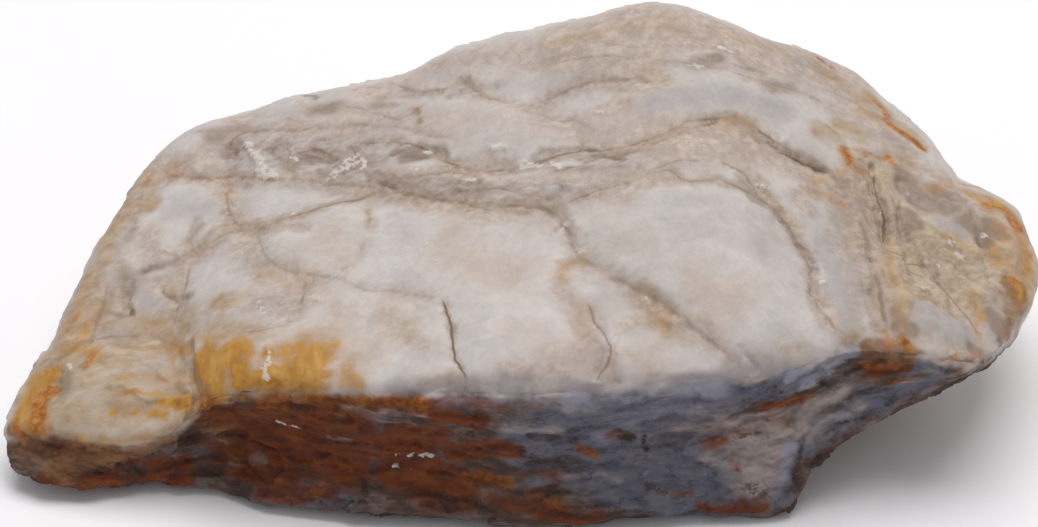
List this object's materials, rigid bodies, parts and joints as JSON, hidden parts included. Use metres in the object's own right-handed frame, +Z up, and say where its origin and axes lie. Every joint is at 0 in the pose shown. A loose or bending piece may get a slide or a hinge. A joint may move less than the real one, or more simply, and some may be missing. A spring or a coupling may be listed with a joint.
{
  "type": "gypsum rock specimen",
  "caption": "Hand-sized block of massive white gypsum with seamed nodular top, bedded rusty front, a low lobe at one end and an overhanging knob at the other.",
  "frame": {"origin": "middle of the bounding box's bottom, on the flat spot that the stone rests on", "axes": "+X along the stone from the low lobe to the overhanging knob, +Y from its bedded front face to its back, +Z up"},
  "size_m": [0.1798, 0.0984, 0.0537],
  "materials": {
    "gypsum": "dull, slightly waxy white gypsum with grey-brown seams, ochre and rust stains and blue-grey beds"
  },
  "bodies": {
    "root": {"gypsum_block": "gypsum"}
  },
  "joints": []
}
